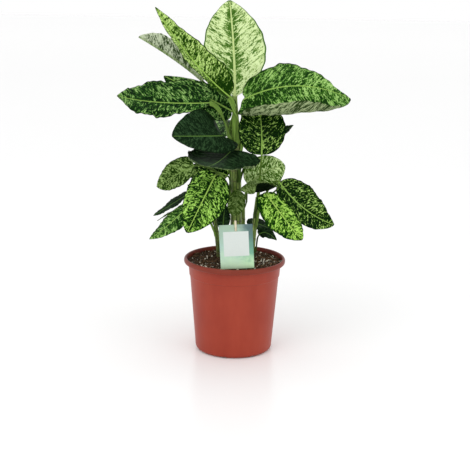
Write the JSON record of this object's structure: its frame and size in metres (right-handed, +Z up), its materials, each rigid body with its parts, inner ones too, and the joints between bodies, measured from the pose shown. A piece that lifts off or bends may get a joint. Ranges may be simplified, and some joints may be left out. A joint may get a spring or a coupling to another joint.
{
  "type": "potted dieffenbachia",
  "caption": "Bushy houseplant with one upright cane, low side shoots and broad mottled green leaves, standing in soil in a tapered nursery pot with a blank plant card.",
  "frame": {"origin": "centre of the pot's foot, on the surface it stands on", "axes": "+Z up through the pot and plant, -Y towards the plant's front, where the card stands, +X to its right"},
  "size_m": [0.3646, 0.2807, 0.5773],
  "materials": {
    "pot_plastic": "satin red-brown moulded plastic",
    "soil": "rough dark peat with pale perlite",
    "leaf": "satin dark green with yellow-green mottling",
    "pale_leaf": "satin cream-green with dark green mottling",
    "stem": "satin olive green",
    "card": "matte printed card with a blank panel",
    "stake": "plain pale wood"
  },
  "bodies": {
    "root": {"arched_leaf": "leaf", "back_left_leaf": "leaf", "back_low_left_leaf": "leaf", "back_low_right_leaf": "leaf", "back_right_leaf": "leaf", "bright_left_leaf": "leaf", "bright_right_leaf": "leaf", "cane_front_leaf": "leaf", "card_stake": "stake", "far_left_leaf": "pale_leaf", "inner_left_leaf": "leaf", "inner_right_leaf": "leaf", "left_leaf": "leaf", "left_shoot": "stem", "low_left_leaf": "leaf", "low_rear_leaf": "leaf", "low_right_leaf": "leaf", "lower_left_leaf": "leaf", "main_cane": "stem", "middle_shoot": "stem", "narrow_left_leaf": "leaf", "outer_right_leaf": "leaf", "pale_right_leaf": "pale_leaf", "plant_card": "card", "pot": "pot_plastic", "potting_soil": "soil", "rear_left_leaf": "leaf", "rear_right_leaf": "leaf", "right_leaf": "leaf", "right_shoot": "stem", "round_left_leaf": "leaf", "shaded_front_leaf": "leaf", "shaded_left_leaf": "leaf", "slim_left_leaf": "leaf", "top_centre_leaf": "pale_leaf", "upper_left_leaf": "leaf"}
  },
  "joints": []
}
